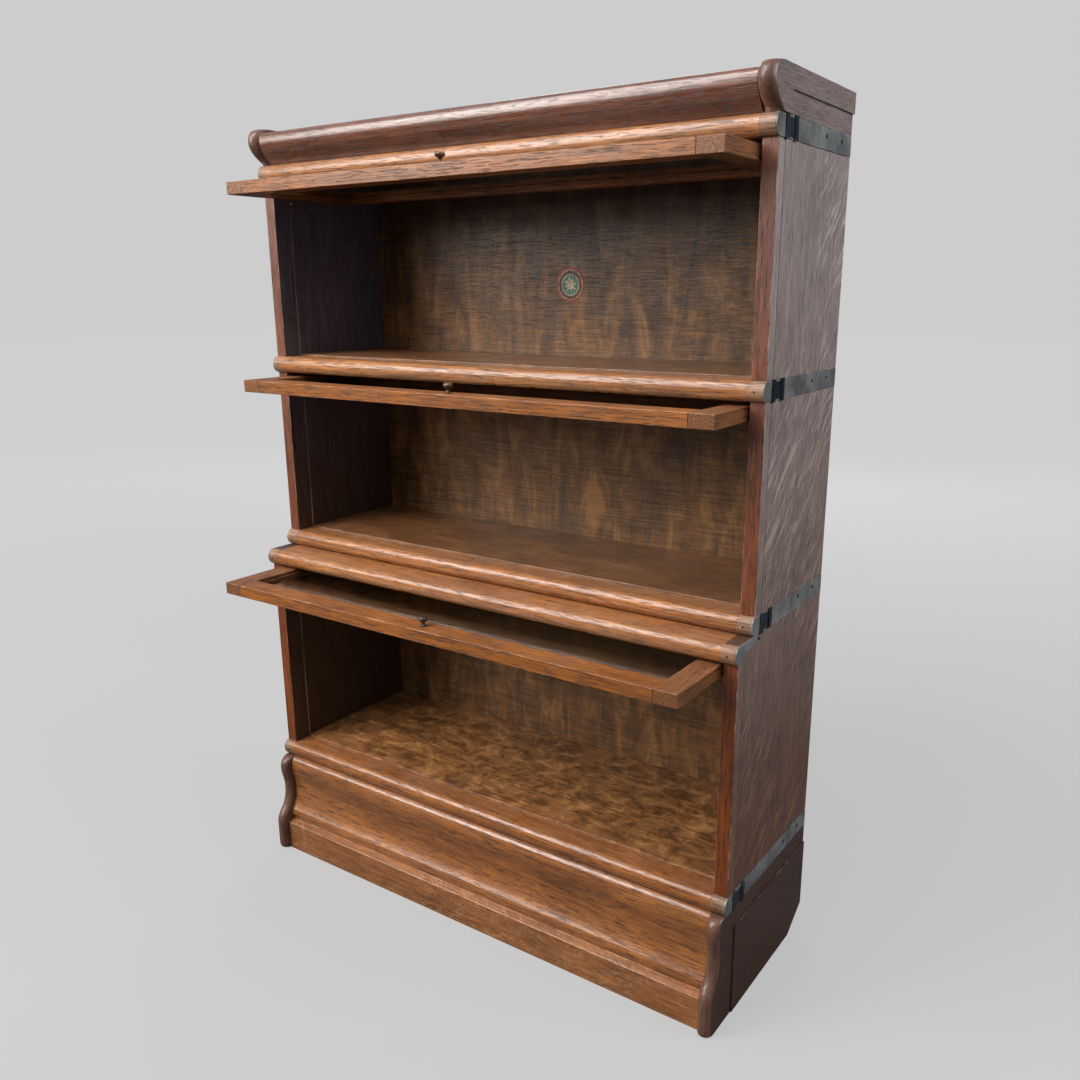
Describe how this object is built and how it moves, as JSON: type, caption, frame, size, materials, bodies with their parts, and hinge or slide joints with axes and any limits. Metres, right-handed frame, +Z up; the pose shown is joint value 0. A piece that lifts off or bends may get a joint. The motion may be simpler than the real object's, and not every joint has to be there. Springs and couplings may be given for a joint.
{
  "type": "barrister bookcase",
  "caption": "Sectional oak bookcase on a moulded plinth, with stacked glazed sections whose doors lift level and slide back inside, steel side bands and a moulded cornice.",
  "frame": {"origin": "on the floor under the middle of the whole object's box, open doors included", "axes": "+Z up, front towards -Y, +X to the right when the bookcase is seen from the front"},
  "size_m": [0.8698, 0.398, 1.2195],
  "materials": {
    "front_oak": "satin varnished oak, worn along the edges",
    "door_oak": "satin varnished oak",
    "side_oak": "satin quarter-sawn oak veneer with ray fleck",
    "back_veneer": "mottled veneer, old varnish",
    "shelf_veneer": "mottled veneer, old varnish",
    "band_steel": "dull grey-green steel with dark clips",
    "knob_bronze": "dark patinated bronze",
    "glass": "clear sheet glass"
  },
  "bodies": {
    "case": {"bottom_back": "back_veneer", "bottom_band_left": "band_steel", "bottom_band_right": "band_steel", "bottom_ledge": "front_oak", "bottom_rail": "front_oak", "bottom_shelf": "shelf_veneer", "bottom_side_left": "side_oak", "bottom_side_right": "side_oak", "cornice_back": "back_veneer", "cornice_band_left": "band_steel", "cornice_band_right": "band_steel", "cornice_end_left": "side_oak", "cornice_end_right": "side_oak", "cornice_moulding": "front_oak", "cornice_rail": "front_oak", "cornice_top_board": "front_oak", "middle_back": "back_veneer", "middle_band_left": "band_steel", "middle_band_right": "band_steel", "middle_rail": "front_oak", "middle_shelf": "shelf_veneer", "middle_side_left": "side_oak", "middle_side_right": "side_oak", "plinth_back": "front_oak", "plinth_end_left": "side_oak", "plinth_end_right": "side_oak", "plinth_moulding": "front_oak", "step_plate_left": "band_steel", "step_plate_right": "band_steel", "top_back": "back_veneer", "top_band_left": "band_steel", "top_band_right": "band_steel", "top_rail": "front_oak", "top_shelf": "shelf_veneer", "top_side_left": "side_oak", "top_side_right": "side_oak"},
    "top_runner": {"top_shoe_left": "band_steel", "top_shoe_right": "band_steel"},
    "top_door": {"top_door_bottom_rail": "door_oak", "top_door_glass": "glass", "top_door_knob": "knob_bronze", "top_door_stile_left": "door_oak", "top_door_stile_right": "door_oak", "top_door_top_rail": "door_oak"},
    "middle_runner": {"middle_shoe_left": "band_steel", "middle_shoe_right": "band_steel"},
    "middle_door": {"middle_door_bottom_rail": "door_oak", "middle_door_glass": "glass", "middle_door_knob": "knob_bronze", "middle_door_stile_left": "door_oak", "middle_door_stile_right": "door_oak", "middle_door_top_rail": "door_oak"},
    "bottom_runner": {"bottom_shoe_left": "band_steel", "bottom_shoe_right": "band_steel"},
    "bottom_door": {"bottom_door_bottom_rail": "door_oak", "bottom_door_glass": "glass", "bottom_door_knob": "knob_bronze", "bottom_door_stile_left": "door_oak", "bottom_door_stile_right": "door_oak", "bottom_door_top_rail": "door_oak"}
  },
  "joints": [
    {"name": "top_door_slide", "type": "slide", "parent": "case", "child": "top_runner", "axis": [0, -1, 0], "range_m": [0, 0.1465]},
    {"name": "top_door_lift", "type": "hinge", "parent": "top_runner", "child": "top_door", "pos_m": [0, 0.121, 1.12715], "axis": [1, 0, 0], "range_deg": [0, 90]},
    {"name": "middle_door_slide", "type": "slide", "parent": "case", "child": "middle_runner", "axis": [0, -1, 0], "range_m": [0, 0.1465]},
    {"name": "middle_door_lift", "type": "hinge", "parent": "middle_runner", "child": "middle_door", "pos_m": [0, 0.121, 0.8329], "axis": [1, 0, 0], "range_deg": [0, 90]},
    {"name": "bottom_door_slide", "type": "slide", "parent": "case", "child": "bottom_runner", "axis": [0, -1, 0], "range_m": [0, 0.18585]},
    {"name": "bottom_door_lift", "type": "hinge", "parent": "bottom_runner", "child": "bottom_door", "pos_m": [0, 0.11635, 0.51625], "axis": [1, 0, 0], "range_deg": [0, 90]}
  ]
}
